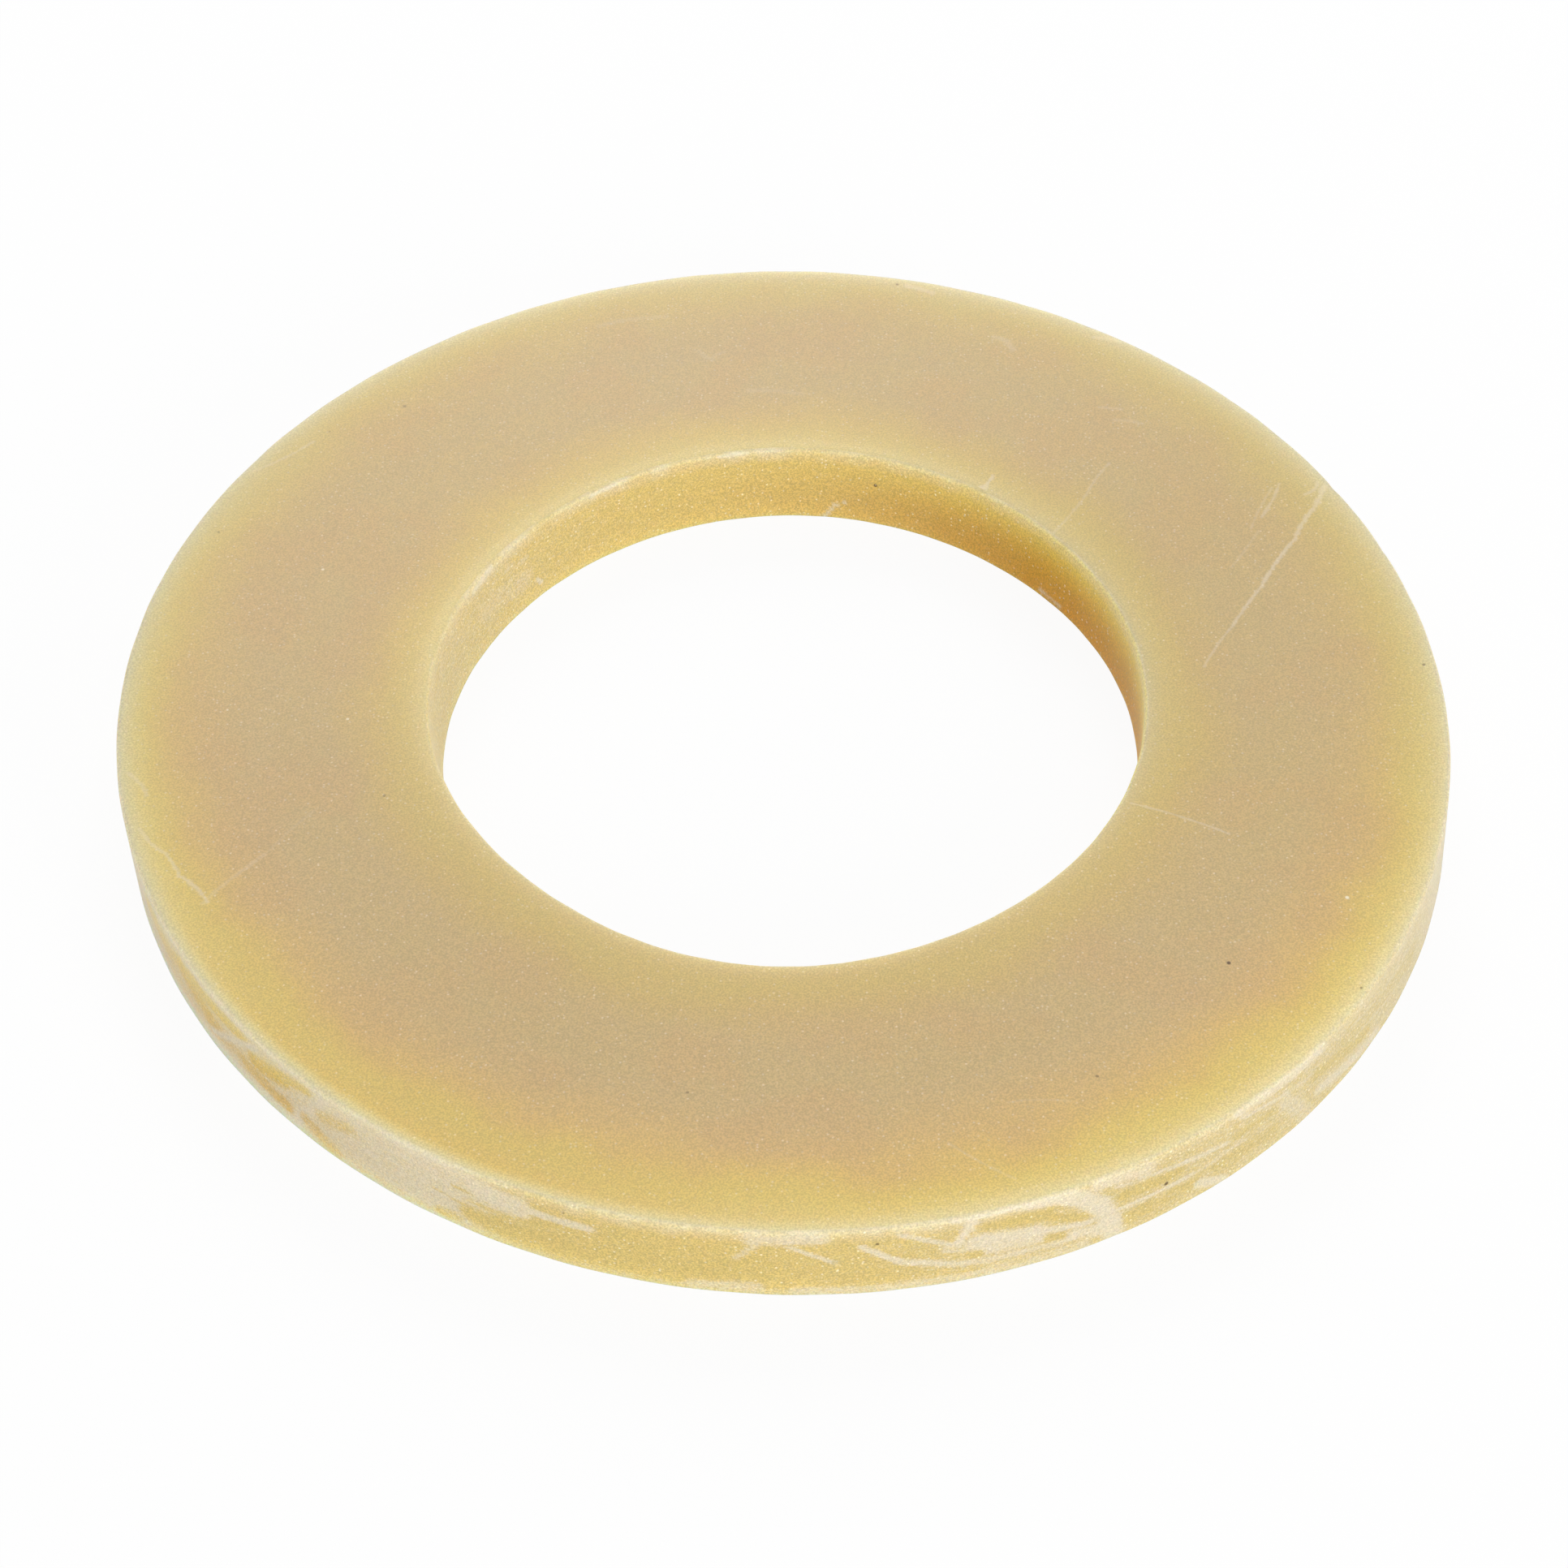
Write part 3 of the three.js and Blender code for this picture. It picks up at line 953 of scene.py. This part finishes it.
def build_world():
    """Even white light all round, seen as white by the camera."""
    world = bpy.data.worlds.new("studio")
    bpy.context.scene.world = world
    world.use_nodes = True
    world.node_tree.nodes.clear()
    shader = Shader(world.node_tree)
    lit = shader.add("ShaderNodeBackground", {"Color": WHITE, "Strength": EVEN_LIGHT}).outputs[0]
    seen = shader.add("ShaderNodeBackground", {"Color": WHITE, "Strength": 1.0}).outputs[0]
    output = shader.add("ShaderNodeOutputWorld")
    shader.put(camera_ray_mix(shader, seen, lit), output.inputs["Surface"])


def soft_lamp(name, azimuth, elevation, distance, size, power):
    """A square soft lamp that looks at the ring from the direction given, in metres."""
    data = bpy.data.lights.new(name, "AREA")
    data.shape = "SQUARE"
    data.size = size
    data.energy = power
    lamp = bpy.data.objects.new(name, data)
    turn = math.radians(azimuth)
    lift = math.radians(elevation)
    flat = math.cos(lift)
    towards = Vector((math.cos(turn) * flat, math.sin(turn) * flat, math.sin(lift)))
    lamp.location = towards * distance
    lamp.rotation_mode = "QUATERNION"
    lamp.rotation_quaternion = towards.to_track_quat("Z", "Y")
    bpy.context.scene.collection.objects.link(lamp)


def build_camera():
    """The photograph's view: from the near side, 47 degrees up, with a slight tilt."""
    place = Vector((-0.10, -152.58, 162.30)) * MM
    aim = Vector((-0.12, -2.70, 0.0)) * MM
    tilt = math.radians(0.478)
    data = bpy.data.cameras.new("camera")
    data.sensor_width = 36.0
    data.lens = 80.56
    data.clip_start = 0.01
    data.clip_end = 10.0
    camera = bpy.data.objects.new("camera", data)
    camera.location = place
    camera.rotation_mode = "QUATERNION"
    view = (aim - place).to_track_quat("-Z", "Y")
    camera.rotation_quaternion = view @ Quaternion((0.0, 0.0, 1.0), tilt)
    bpy.context.scene.collection.objects.link(camera)
    bpy.context.scene.camera = camera


build_camera()
dress_ring()
build_floor()
build_world()
soft_lamp("key_lamp", azimuth=314, elevation=18, distance=0.7, size=0.30, power=1.85)
soft_lamp("fill_lamp", azimuth=268, elevation=18, distance=0.7, size=0.40, power=1.05)
soft_lamp("back_lamp", azimuth=92, elevation=35, distance=0.7, size=0.40, power=2.4)
bpy.context.scene.view_settings.view_transform = "Standard"
